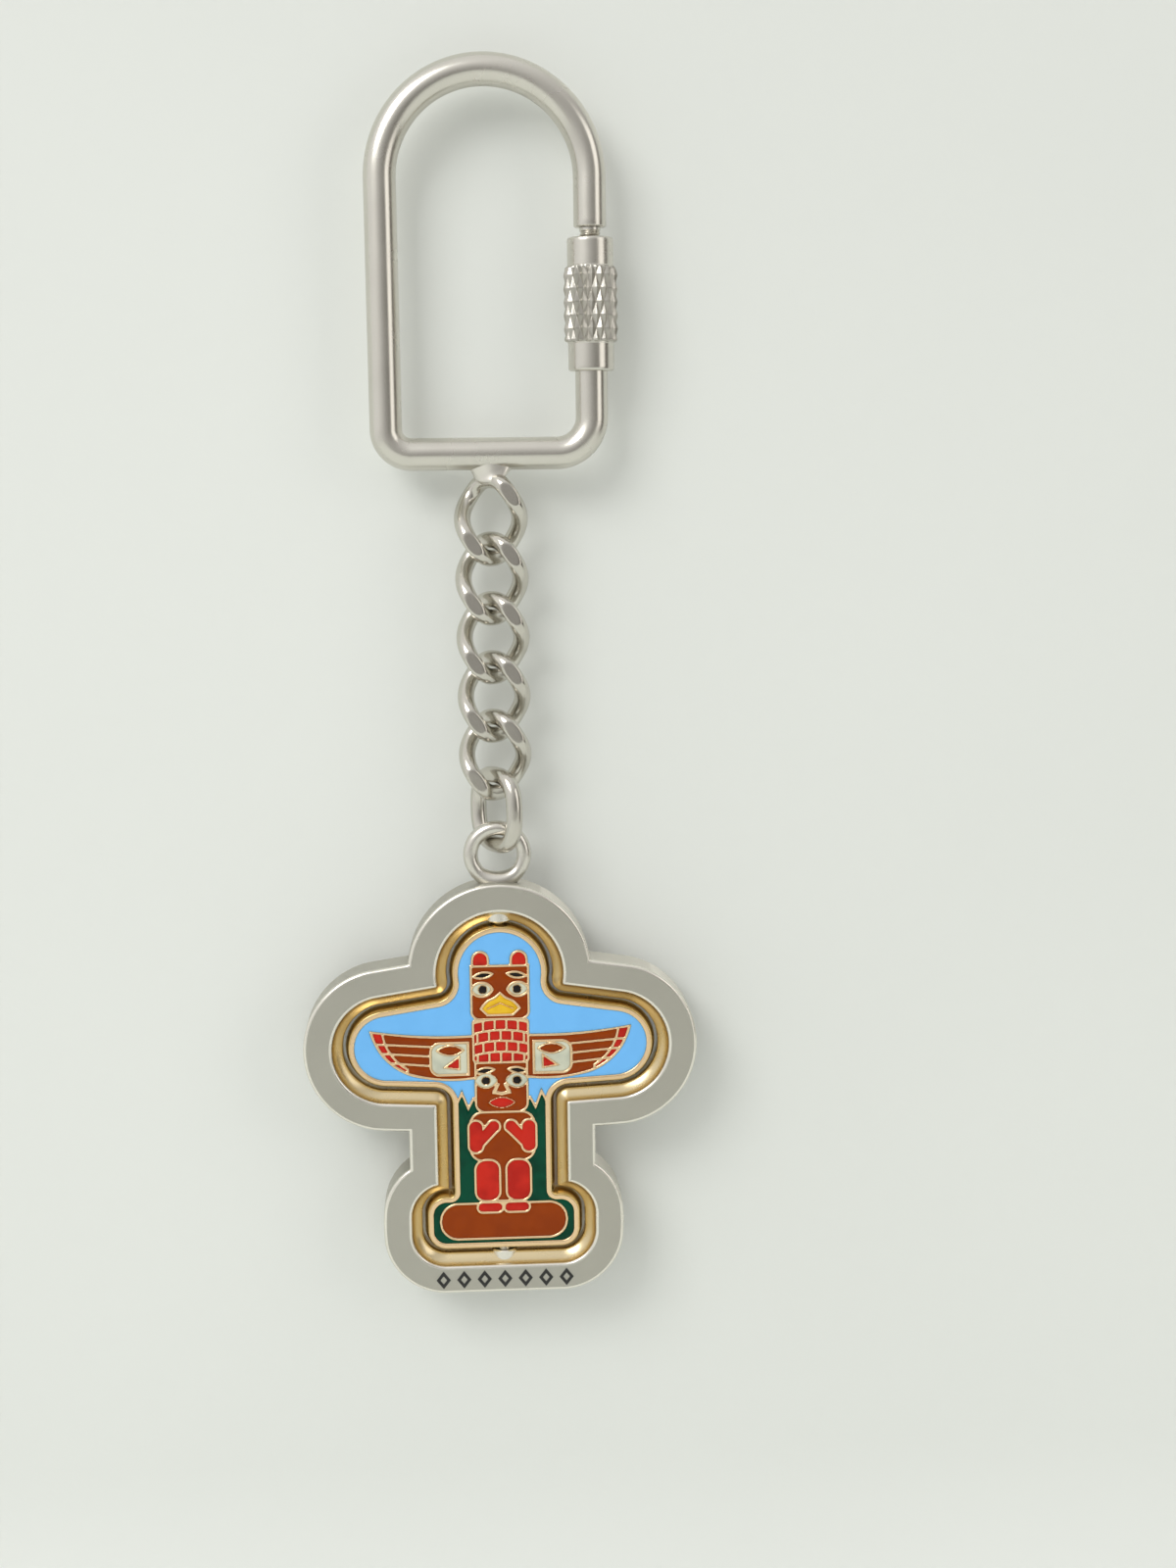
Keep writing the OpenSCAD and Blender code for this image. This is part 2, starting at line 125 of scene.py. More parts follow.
# Medallion. GRID is the pitch of its relief, REACH how far the distance to a cell's edge is measured.
GRID = 0.08
REACH = 0.8
RIM_W = 0.26
RIM_BULGE = 0.2
LINE_HALF = 0.13
LINE_FALL = 0.1
CELL_DROP = 0.02
DOME = 0.085
DOME_REACH = 0.6

# Stage
WALL_GAP = 0.9
WALL_BEND = 40.0
WALL_TOP = 420.0
FLOOR_DROP = 60.0
FLOOR_DEPTH = 600.0
STAGE_HALF_W = 420.0

# Shading: features per metre of the drift in tone and gloss, and the noise's own roughness
TONE_SCALE = 180
GLOSS_SCALE = 240
TONE_DRIFT = 0.04
NOISE_ROUGHNESS = 0.55


# ---- CAD boxes and outlines, in millimetres ----


def box(node):
    """The lowest and highest corner of a CAD node."""
    lo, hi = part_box(node)
    return lo / MM, hi / MM


def chains(edges):
    """Closed loops of points in millimetres, from directed edges between points in whole microns."""
    after = {}
    for a, b in edges:
        after.setdefault(a, []).append(b)
    loops = []
    while after:
        start = next(iter(after))
        loop, here = [], start
        while True:
            loop.append(here)
            nexts = after[here]
            here = nexts.pop()
            if not nexts:
                del after[loop[-1]]
            if here == start:
                break
        loops.append(np.array(loop) / MICRONS_PER_MM)
    return loops


def face_loops(node, y):
    """The outlines, as (x, z), of the flat faces of a CAD node that lie at depth y."""
    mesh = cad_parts[node].data
    co = np.array([v.co for v in mesh.vertices]) / MM
    keys = [(round(p[0] * MICRONS_PER_MM), round(p[2] * MICRONS_PER_MM)) for p in co]
    level = np.abs(co[:, 1] - y) < LEVEL_GAP
    edges = set()
    for poly in mesh.polygons:
        if not all(level[i] for i in poly.vertices):
            continue
        ring = [keys[i] for i in poly.vertices]
        for a, b in zip(ring, ring[1:] + ring[:1]):
            if (b, a) in edges:
                edges.remove((b, a))
            elif a != b:
                edges.add((a, b))
    return chains(edges)


def smooth_loop(points, step, corner_deg=27.0):
    """A closed outline drawn again as arcs through its points, with its sharp corners kept."""
    n = len(points)
    along = np.roll(points, -1, 0) - points
    length = np.linalg.norm(along, axis=1)
    unit = along / length[:, None]
    back = np.roll(unit, 1, 0)
    back_len = np.roll(length, 1)
    turn = np.abs(np.arctan2(back[:, 0] * unit[:, 1] - back[:, 1] * unit[:, 0], (back * unit).sum(1)))
    corner = turn > math.radians(corner_deg)
    tangent = unit / length[:, None] + back / back_len[:, None]
    tangent[length > 2.5 * back_len] = unit[length > 2.5 * back_len]
    tangent[back_len > 2.5 * length] = back[back_len > 2.5 * length]
    tangent /= np.linalg.norm(tangent, axis=1)[:, None]
    out = []
    for i in range(n):
        j = (i + 1) % n
        u = unit[i]
        a = tangent[i] if not corner[i] else None
        b = tangent[j] if not corner[j] else None
        if a is None and b is None:
            a = b = u
        elif a is None:
            a = 2 * u * (u @ b) - b
        elif b is None:
            b = 2 * u * (u @ a) - a
        count = max(1, int(math.ceil(length[i] / step)))
        t = (np.arange(count) / count)[:, None]
        h0, h1 = 2 * t**3 - 3 * t**2 + 1, t**3 - 2 * t**2 + t
        h2, h3 = -2 * t**3 + 3 * t**2, t**3 - t**2
        out.append(h0 * points[i] + h1 * a * length[i] + h2 * points[j] + h3 * b * length[i])
    return np.concatenate(out)


def area(loop):
    """An outline's area, negative if it runs clockwise."""
    x, z = loop[:, 0], loop[:, 1]
    return 0.5 * float((x * np.roll(z, -1) - np.roll(x, -1) * z).sum())


def anticlockwise(loop):
    """The same outline, run anticlockwise."""
    return loop if area(loop) > 0 else loop[::-1]


def inset(loop, d):
    """An anticlockwise outline moved inwards by d, corner by corner."""
    ahead = np.roll(loop, -1, 0) - loop
    ahead /= np.linalg.norm(ahead, axis=1)[:, None]
    behind = np.roll(ahead, 1, 0)
    normal = np.stack([-(ahead + behind)[:, 1], (ahead + behind)[:, 0]], 1)
    normal /= np.linalg.norm(normal, axis=1)[:, None]
    cosine = np.maximum((normal * np.stack([-ahead[:, 1], ahead[:, 0]], 1)).sum(1), 0.35)
    return loop + normal * (d / cosine)[:, None]


# ---- meshes ----


def face_outwards(mesh):
    """Turns the faces of a closed mesh round if they look inwards."""
    mesh.calc_loop_triangles()
    corners = np.empty(3 * len(mesh.loop_triangles), np.int32)
    mesh.loop_triangles.foreach_get("vertices", corners)
    co = np.empty(3 * len(mesh.vertices), np.float32)
    mesh.vertices.foreach_get("co", co)
    a, b, c = (co.reshape(-1, 3)[corners[i::3]].astype(float) for i in range(3))
    if (a * np.cross(b, c)).sum() < 0:
        mesh.flip_normals()


def build(name, verts, faces, body, materials, smooth_deg=35.0, indices=None):
    """A piece from points in millimetres. faces is a list, or an array of triangles."""
    mesh = bpy.data.meshes.new(name)
    verts = np.asarray(verts, float) * MM
    if isinstance(faces, np.ndarray):
        mesh.vertices.add(len(verts))
        mesh.vertices.foreach_set("co", verts.ravel())
        mesh.loops.add(faces.size)
        mesh.loops.foreach_set("vertex_index", faces.ravel())
        mesh.polygons.add(len(faces))
        mesh.polygons.foreach_set("loop_start", np.arange(0, faces.size, 3))
        mesh.update(calc_edges=True)
    else:
        mesh.from_pydata(verts.tolist(), [], [list(map(int, f)) for f in faces])
    for material in materials:
        mesh.materials.append(material)
    if indices is not None:
        mesh.polygons.foreach_set("material_index", np.asarray(indices, np.int32))
    mesh.polygons.foreach_set("use_smooth", np.ones(len(mesh.polygons), bool))
    mesh.set_sharp_from_angle(angle=math.radians(smooth_deg))
    mesh.validate()
    mesh.update()
    face_outwards(mesh)
    piece = bpy.data.objects.new(name, mesh)
    bpy.context.scene.collection.objects.link(piece)
    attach(piece, body)
    return piece


def grid_faces(rows, columns, closed_rows=False):
    """Quads of a grid whose columns go round."""
    last = rows if closed_rows else rows - 1
    faces = []
    for i in range(last):
        j = (i + 1) % rows
        for k in range(columns):
            m = (k + 1) % columns
            faces.append((i * columns + k, i * columns + m, j * columns + m, j * columns + k))
    return faces


def revolve(profile, columns, radius=None):
    """Points round the Z axis from a closed (r, z) profile. radius(r, z, angle) may reshape them."""
    angle = np.arange(columns) / columns * TAU
    r = np.repeat(np.array(profile)[:, :1], columns, 1)
    z = np.repeat(np.array(profile)[:, 1:], columns, 1)
    if radius is not None:
        r = radius(r, z, angle[None, :])
    points = np.stack([r * np.cos(angle), r * np.sin(angle), z], 2)
    return points.reshape(-1, 3), grid_faces(len(profile), columns, closed_rows=True)


# ---- materials ----


def shader(name, colour, roughness, metallic=0.0, coat=0.0, specular=0.5):
    """A new material with its node tree and its main shader."""
    material = bpy.data.materials.new(name)
    material.use_nodes = True
    tree = material.node_tree
    principled = tree.nodes["Principled BSDF"]
    principled.inputs["Base Color"].default_value = (*colour, 1)
    principled.inputs["Roughness"].default_value = roughness
    principled.inputs["Metallic"].default_value = metallic
    principled.inputs["Coat Weight"].default_value = coat
    principled.inputs["Specular IOR Level"].default_value = specular
    return material, tree, principled


def noise(tree, scale, detail=3.0):
    """A noise in object space; scale is in features per metre."""
    coords = tree.nodes.new("ShaderNodeTexCoord")
    texture = tree.nodes.new("ShaderNodeTexNoise")
    texture.inputs["Scale"].default_value = scale
    texture.inputs["Detail"].default_value = detail
    texture.inputs["Roughness"].default_value = NOISE_ROUGHNESS
    tree.links.new(coords.outputs["Object"], texture.inputs["Vector"])
    return texture.outputs["Fac"]


def ramp(tree, value, low, high, start=0.3, end=0.7):
    """A value or colour that goes from low to high while the input goes from start to end."""
    node = tree.nodes.new("ShaderNodeValToRGB")
    ends = node.color_ramp.elements
    ends[0].position, ends[1].position = start, end
    grey = isinstance(low, float)
    ends[0].color = (low, low, low, 1) if grey else (*low, 1)
    ends[1].color = (high, high, high, 1) if grey else (*high, 1)
    tree.links.new(value, node.inputs["Fac"])
    return node.outputs["Color"]


def bump(tree, principled, value, distance, strength=0.5):
    """Grain on a surface, of the given height in millimetres."""
    node = tree.nodes.new("ShaderNodeBump")
    node.inputs["Distance"].default_value = distance * MM
    node.inputs["Strength"].default_value = strength
    tree.links.new(value, node.inputs["Height"])
    tree.links.new(node.outputs["Normal"], principled.inputs["Normal"])


def plated(name, colour, low, high, grain, depth):
    """A plated metal whose roughness drifts from low to high, with a fine grain."""
    material, tree, principled = shader(name, colour, low, metallic=1.0)
    dark = tuple(c * (1 - TONE_DRIFT) for c in colour)
    tree.links.new(ramp(tree, noise(tree, TONE_SCALE, 2.0), dark, colour), principled.inputs["Base Color"])
    tree.links.new(ramp(tree, noise(tree, GLOSS_SCALE), low, high), principled.inputs["Roughness"])
    bump(tree, principled, noise(tree, grain, 2.0), depth, 0.3)
    return material


def enamel_paint(name, colour, deep):
    """A glossy fired colour that pools a little darker in places."""
    material, tree, principled = shader(name, colour, 0.1, coat=0.05, specular=0.1)
    principled.inputs["Coat Roughness"].default_value = 0.06
    pooled = ramp(tree, noise(tree, 450, 2.0), deep, colour, 0.35, 0.6)
    tree.links.new(pooled, principled.inputs["Base Color"])
    tree.links.new(ramp(tree, noise(tree, 3000, 2.0), 0.08, 0.16), principled.inputs["Roughness"])
    bump(tree, principled, noise(tree, 900, 2.0), 0.012, 0.4)
    return material


NICKEL = plated("satin_nickel", (0.66, 0.635, 0.575), 0.24, 0.29, 20000, 0.001)
# The knurl takes a darker copy of the sleeve's nickel: painted shade for the grooves between its diamonds.
GRIP = plated("knurled_nickel_painted_shade", (0.5, 0.48, 0.43), 0.3, 0.36, 20000, 0.001)
CHAIN = plated("chain_nickel", (0.6, 0.575, 0.515), 0.17, 0.23, 9000, 0.0015)
# The frame's face, its rounded edges and the pins are one nickel plating. The face's darker colour is painted
# shade, and the brighter colour of the edges and pins is a painted highlight; their roughness differs for
# real.
CAST = plated("cast_nickel", (0.48, 0.466, 0.41), 0.44, 0.52, 16000, 0.004)
EDGE = plated("polished_nickel_painted_highlight", (0.8, 0.77, 0.69), 0.22, 0.3, 9000, 0.002)
# The window's sloped inner wall is tinted gold: partly gilding and partly a painted reflection of the gilt
# medallion beside it.
WALL = plated("gilt_wall_painted_reflection", (0.72, 0.6, 0.38), 0.24, 0.32, 9000, 0.003)
GOLD = plated("gold_plate", (0.8, 0.62, 0.31), 0.18, 0.26, 9000, 0.002)
LINES = plated("gold_lines", (0.86, 0.62, 0.37), 0.2, 0.3, 7000, 0.004)
SOLDER = plated("braze", (0.74, 0.71, 0.65), 0.28, 0.38, 2500, 0.012)


def printed_ink():
    """Black screen print with a slightly rough skin."""
    material, tree, principled = shader("black_print", (0.012, 0.011, 0.01), 0.45)
    tone = ramp(tree, noise(tree, 3000), (0.008, 0.008, 0.008), (0.02, 0.018, 0.017))
    tree.links.new(tone, principled.inputs["Base Color"])
    bump(tree, principled, noise(tree, 8000), 0.01)
    return material


INK = printed_ink()
PAINT = {
    "sky": enamel_paint("enamel_sky", (0.172, 0.485, 0.9), (0.165, 0.47, 0.88)),
    "green": enamel_paint("enamel_green", (0.0, 0.06, 0.03), (0.0, 0.04, 0.02)),
    "brown": enamel_paint("enamel_brown", (0.27, 0.042, 0.002), (0.24, 0.036, 0.002)),
    "red": enamel_paint("enamel_red", (0.55, 0.022, 0.012), (0.42, 0.015, 0.009)),
    "yellow": enamel_paint("enamel_yellow", (0.8, 0.5, 0.03), (0.66, 0.38, 0.015)),
    "white": enamel_paint("enamel_white", (0.62, 0.63, 0.5), (0.5, 0.52, 0.42)),
    "black": enamel_paint("enamel_black", (0.015, 0.012, 0.012), (0.008, 0.007, 0.007)),
}


# ---- ring ----


def ring_path():
    """Points, directions and radii along the ring's wire, from the stub in the sleeve to the stud's end."""
    lo, hi = box("ring_frame")
    arm = hi.x - WIRE_R
    bar = lo.z + WIRE_R
    arch = hi.z - WIRE_R - arm
    points, radii = [], []

    def run(a, b, step=0.5):
        count = max(2, int(math.dist(a, b) / step))
        for i in range(count):
            points.append(tuple(a[k] + (b[k] - a[k]) * i / count for k in (0, 1)))
            radii.append(WIRE_R)

    def turn(cx, cz, r, start, sweep, step=2.5):
        count = int(abs(sweep) / step)
        for i in range(count):
            t = math.radians(start + sweep * i / count)
            points.append((cx + r * math.cos(t), cz + r * math.sin(t)))
            radii.append(WIRE_R)

    run((arm, STUB_Z), (arm, STUB_Z - WIRE_BEVEL), WIRE_BEVEL / 4)
    radii[:] = [WIRE_R - WIRE_BEVEL * (1 - i / len(radii)) for i in range(len(radii))]
    run((arm, STUB_Z - WIRE_BEVEL), (arm, bar + SLEEVE_CORNER_R))
    turn(arm - SLEEVE_CORNER_R, bar + SLEEVE_CORNER_R, SLEEVE_CORNER_R, 0, -90)
    run((arm - SLEEVE_CORNER_R, bar), (RING_CORNER_R - arm, bar))
    turn(RING_CORNER_R - arm, bar + RING_CORNER_R, RING_CORNER_R, -90, -90)
    run((-arm, bar + RING_CORNER_R), (-arm, arch))
    turn(0, arch, arm, 180, -180, 1.5)
    run((arm, arch), (arm, SHOULDER_Z + WIRE_BEVEL))
    for i in range(6):
        points.append((arm, SHOULDER_Z + WIRE_BEVEL * (1 - i / 5)))
        radii.append(WIRE_R - WIRE_BEVEL * (1 - math.cos(i / 5 * math.pi / 2)))
    for r in (1.25, 1.1, STUD_R - 0.08):
        points.append((arm, SHOULDER_Z))
        radii.append(r)
    rows, tip_r, tip_share = 90, 0.2, 0.08
    for i in range(1, rows + 1):
        points.append((arm, SHOULDER_Z - STUD_LEN * i / rows))
        radii.append(STUD_R - tip_r * max(0, i / rows - (1 - tip_share)) / tip_share)
    return np.array(points), np.array(radii)


def thread_cut(z, angle):
    """How much a thread takes off the stud's radius at this height and angle."""
    turns = z / THREAD_PITCH - angle / TAU
    groove = np.abs(2 * (turns - np.floor(turns)) - 1)
    start = np.clip((SHOULDER_Z - THREAD_START - z) / 0.1, 0, 1)
    return THREAD_DEPTH * groove * start


def ring():
    """The D ring: a round wire along its path, with the stud's thread cut in its end."""
    points, radii = ring_path()
    columns = 64
    angle = np.arange(columns) / columns * TAU
    ahead = np.roll(points, -1, 0) - np.roll(points, 1, 0)
    ahead[0], ahead[-1] = (0, -1), (0, -1)
    still = np.linalg.norm(ahead, axis=1) < 1e-9
    ahead[still] = (0, -1)
    ahead /= np.linalg.norm(ahead, axis=1)[:, None]
    side = np.stack([-ahead[:, 1], ahead[:, 0]], 1)
    r = np.repeat(radii[:, None], columns, 1)
    on_stud = (radii < STUD_R + 1e-6) & (points[:, 1] < SHOULDER_Z + 1e-6)
    r -= on_stud[:, None] * thread_cut(points[:, 1:], angle[None, :])
    x = points[:, :1] + side[:, :1] * r * np.cos(angle)
    z = points[:, 1:] + side[:, 1:] * r * np.cos(angle)
    y = r * np.sin(angle)
    verts = np.stack([x, y, z], 2).reshape(-1, 3)
    faces = [f[::-1] for f in grid_faces(len(points), columns)]
    faces.append(list(range(columns)))
    faces.append(list(range(len(verts) - columns, len(verts)))[::-1])
    piece = build("ring_wire", verts, faces, "ring", [NICKEL])
    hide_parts("ring_frame")


def sleeve():
    """The lock sleeve, turned from one profile, with a diamond knurl between its collars."""
    lo, hi = box("lock_sleeve")
    x, top, low, grip = (lo.x + hi.x) / 2, hi.z, lo.z, (hi.x - lo.x) / 2
    high_end, low_end = top - COLLAR_LEN, low + COLLAR_LEN
    step_r = COLLAR_R + GRIP_STEP
    flat_r = COLLAR_R - COLLAR_BEVEL
    arc = [(COLLAR_R - COLLAR_BEVEL * (1 - math.sin(t)), COLLAR_BEVEL * (1 - math.cos(t)))
           for t in (0.5, 1.0, 1.4)]
    mouth = 0.1
    rows = 110
    profile = [(SLEEVE_THREAD_R, top - mouth), (SLEEVE_THREAD_R + mouth, top), (flat_r, top)]
    profile += [(r, top - drop) for r, drop in arc]
    profile += [(COLLAR_R, top - 0.4), (COLLAR_R, high_end + 0.12), (step_r, high_end + GRIP_STEP)]
    profile += [(grip, high_end + (low_end - high_end) * i / rows) for i in range(rows + 1)]
    profile += [(step_r, low_end - GRIP_STEP), (COLLAR_R, low_end - 0.12), (COLLAR_R, low + 0.4)]
    profile += [(r, low + rise) for r, rise in arc[::-1]]
    profile += [(flat_r, low), (SLEEVE_BORE_R + mouth, low), (SLEEVE_BORE_R, low + mouth)]
    profile += [(SLEEVE_BORE_R, top - SLEEVE_THREAD_LEN), (SLEEVE_THREAD_R, top - SLEEVE_THREAD_LEN)]

    def knurl(r, z, angle):
        on_grip = r > grip - 1e-6
        waves = [KNURLS * angle / TAU + lean * z / KNURL_TALL for lean in (1, -1)]
        ridge = np.minimum(*(1 - np.abs(2 * (wave - np.floor(wave)) - 1) for wave in waves))
        ends = np.clip(np.minimum(high_end - z, z - low_end) / KNURL_FADE, 0, 1)
        height = grip - KNURL_DEPTH + KNURL_DEPTH * np.minimum(1, KNURL_CREST * ridge)
        return np.where(on_grip, step_r + (height - step_r) * np.sqrt(ends), r)

    verts, faces = revolve(profile, KNURLS * 14, knurl)
    verts = verts + np.array([x, 0, 0])
    past_step = np.hypot(verts[:, 0] - x, verts[:, 1]) > step_r + 0.01
    on_grip = [int(past_step[list(f)].any()) for f in faces]
    # The knurled faces take the darker copy of the nickel, painted shade for their grooves.
    piece = build("knurled_sleeve", verts, [f[::-1] for f in faces], "sleeve", [NICKEL, GRIP],
                  35, on_grip)
    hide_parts("lock_sleeve")


# ---- chain ----


def soft_limit(y, limit, soft=0.03):
    """Keeps y inside a limit, with a small round where it meets it."""
    over = np.abs(y) - limit + soft
    held = np.where(over > 0, limit - soft + soft * (1 - np.exp(-over / soft)), np.abs(y))
    return np.sign(y) * held


def link(number, body, curb=True):
    """One link: round wire along a squared oval. A curb link is twisted and ground flat front and back."""
    name = f"link_{number}"
    lo, hi = box(name)
    h, w = (hi.z - lo.z) / 2 - LINK_R, (LINK_W if curb else JUMP_W) / 2 - LINK_R
    power = LINK_POWER if curb else JUMP_POWER
    rings, sides, nudge = 220, 36, 0.01
    t = (np.arange(rings) + 0.5) / rings * TAU

    def centre(t):
        c, s = np.cos(t), np.sin(t)
        x, z = w * np.sign(c) * np.abs(c) ** power, h * np.sign(s) * np.abs(s) ** power
        turn = -LINK_TWIST * np.sin(math.pi / 2 * z / h) if curb else -JUMP_TWIST
        return np.stack([x * np.cos(turn), x * np.sin(turn), z], 1)

    here = centre(t)
    ahead = centre(t + nudge) - centre(t - nudge)
    ahead /= np.linalg.norm(ahead, axis=1)[:, None]
    side = here - ahead * (here * ahead).sum(1)[:, None]
    side /= np.linalg.norm(side, axis=1)[:, None]
    up = np.cross(ahead, side)
    a = np.arange(sides) / sides * TAU
    verts = here[:, None] + LINK_R * (side[:, None] * np.cos(a)[:, None] + up[:, None] * np.sin(a)[:, None])
    verts = verts.reshape(-1, 3)
    verts[:, 1] = soft_limit(verts[:, 1], hi.y) if curb else np.clip(verts[:, 1], lo.y, hi.y)
    verts[:, 2] += (lo.z + hi.z) / 2
    faces = [f[::-1] for f in grid_faces(rings, sides, closed_rows=True)]
    piece = build(f"chain_link_{number}", verts, faces, body, [CHAIN], 60)
    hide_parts(name)


def chain():
    """Five curb links, the first one fixed to the ring, and the plain jump link."""
    link(1, "ring")
    for number in (2, 3, 4, 5):
        link(number, f"chain_{number}")
    link(6, "chain_6", curb=False)


def braze():
    """The braze that flares from the bar down to both strands of the first link's bow."""
    bar = box("ring_frame")[0].z + WIRE_R
    foot = box("link_1")[1].z - BRAZE_LAP
    top = bar - WIRE_R * 0.6
    rows, columns = 48, 84
    neck, spread, spread_end, tuck_start = 0.66, 0.42, 0.75, 0.75
    verts = []
    for i in range(rows + 1):
        t = i / rows
        z = top + (foot - top) * t
        flare = neck + spread * max(0.0, 1 - t / spread_end) ** 1.6
        tuck = 1 - 0.35 * max(0.0, (t - tuck_start) / (1 - tuck_start)) ** 2
        turn = -LINK_TWIST * t * 0.9
        for k in range(columns):
            a = k / columns * TAU
            lumps = 1 + 0.025 * math.sin(3 * a + 5 * t) + 0.015 * math.sin(7 * a - 4 * t)
            x = BRAZE_HALF_W * flare * tuck * lumps * math.cos(a)
            y = BRAZE_HALF_T * (0.8 + 0.2 * flare) * tuck * lumps * math.sin(a)
            along = x * math.cos(turn) - y * math.sin(turn)
            across = x * math.sin(turn) + y * math.cos(turn)
            verts.append((along, across, z))
    faces = grid_faces(rows + 1, columns)
    faces.append(list(range(columns)))
    faces.append(list(range(rows * columns, (rows + 1) * columns))[::-1])
    piece = build("braze_fillet", verts, [f[::-1] for f in faces], "ring", [SOLDER], 60)
    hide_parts("solder_joint")


# ---- pendant frame ----


def round_edge(depth, radius, steps=5):
    """(inset, depth) pairs over a rounded front edge, from the flat face out to the side."""
    pairs = [(radius + 0.03, -depth)]
    for i in range(steps + 1):
        t = i / steps * math.pi / 2
        pairs.append((radius * (1 - math.sin(t)), -depth + radius * (1 - math.cos(t))))
    return pairs


def cove(depth, rib, steps=10):
    """(inset, depth) pairs from the rounded edge down a slightly hollow slope to a rib of that width."""
    start, end = depth - EDGE_R, RIB_T / 2
    pairs = []
    for i in range(1, steps + 1):
        f = i / steps
        hollow = SLOPE_HOLLOW * math.sin(math.pi * f)
        pairs.append((-rib * max(0.0, f - hollow), -start + (start - end) * f))
    lip = 0.04 if rib else 0.0
    return pairs + [(-rib - lip, -end + 0.06)]


def frame_casting():
    """The cast frame: flat faces between outline and window, rounded edges, and the window's rib."""
    depth = box("pendant_frame")[1].y
    loops = sorted(face_loops("pendant_frame", depth), key=lambda loop: -abs(area(loop)))
    outer, window = (anticlockwise(smooth_loop(loop, FRAME_STEP)) for loop in loops[:2])
    edge = round_edge(depth, EDGE_R)
    face_slot, edge_slot, wall_slot = 0, 1, 2
    verts, faces, indices, starts = [], [], [], []
    for loop, sign, rib, side_slot in ((outer, 1, 0.0, face_slot), (window, -1, RIB_W, wall_slot)):
        half = edge + cove(depth, rib)
        both = half + [(d, -y) for d, y in half[::-1]]
        first, n = len(verts), len(loop)
        starts.append(first)
        for d, y in both:
            verts += [(p[0], y, p[1]) for p in inset(loop, sign * d)]
        for i, f in enumerate(grid_faces(len(both), n)):
            f = tuple(first + v for v in f)
            faces.append(f[::-1] if sign > 0 else f)
            row = min(i // n, len(both) - 2 - i // n)
            indices.append(face_slot if row == 0 else edge_slot if row < len(edge) - 1 else side_slot)
    for row, flip in ((0, False), (len(both) - 1, True)):
        rims, ids = [], []
        for start, n in zip(starts, (len(outer), len(window))):
            rim = range(start + row * n, start + (row + 1) * n)
            rims.append([Vector((verts[k][0], verts[k][2], 0)) for k in rim])
            ids += rim
        for tri in tessellate_polygon(rims):
            f = [ids[v] for v in tri]
            a, b, c = (verts[v] for v in f)
            up = (b[0] - a[0]) * (c[2] - a[2]) - (b[2] - a[2]) * (c[0] - a[0])
            faces.append(f if (up > 0) != flip else f[::-1])
            indices.append(face_slot)
    # The face takes the darker copy of the nickel (painted shade), the rounded edges the brighter copy
    # (painted highlight), and the window's slope the gold-tinted copy (partly a painted reflection).
    piece = build("frame_casting", verts, faces, "pendant", [CAST, EDGE, WALL], 40, indices)
    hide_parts("pendant_frame")


def frame_eye():
    """The eye on top of the frame, a ring that swells where it joins the casting."""
    centre = box("pendant_frame")[1].z - EYE_R
    rings, sides = 120, 32
    t = np.arange(rings) / rings * TAU
    a = np.arange(sides) / sides * TAU
    swell = 1 + 0.3 * np.clip((-np.sin(t) - 0.55) / 0.45, 0, 1) ** 2
    r = EYE_R - EYE_SECTION + np.outer(EYE_SECTION * swell, np.cos(a))
    y = np.outer(EYE_SECTION * swell, np.sin(a))
    verts = np.stack([r * np.cos(t)[:, None], y, r * np.sin(t)[:, None] + centre], 2).reshape(-1, 3)
    faces = [f[::-1] for f in grid_faces(rings, sides, closed_rows=True)]
    build("frame_eye", verts, faces, "pendant", [NICKEL], 60)


def pin(node):
    """A pivot pin with a wider shoulder at the frame's side and a bevel at each end."""
    lo, hi = box(node)
    up = node == "pin_bottom"
    shoulder = (hi.x - lo.x) / 2
    r = shoulder - PIN_LEDGE
    length = hi.z - lo.z
    collar_end = length - PIN_GRIP - PIN_PLAY
    bevel, axis_r = 0.12, 0.02
    profile = [(axis_r, 0), (r, 0), (r, PIN_SINK), (shoulder - bevel, PIN_SINK), (shoulder, PIN_SINK + bevel)]
    profile += [(shoulder, collar_end - bevel), (shoulder - bevel, collar_end), (r, collar_end)]
    profile += [(r, length - bevel), (r - bevel, length), (axis_r, length)]
    verts, faces = revolve(profile, 48)
    if not up:
        verts = verts * np.array([1, -1, -1])
    verts = verts + np.array([0, 0, lo.z if up else hi.z])
    piece = build(f"pivot_{node}", verts, faces, "pendant", [EDGE])
    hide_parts(node)


# ---- medallion ----


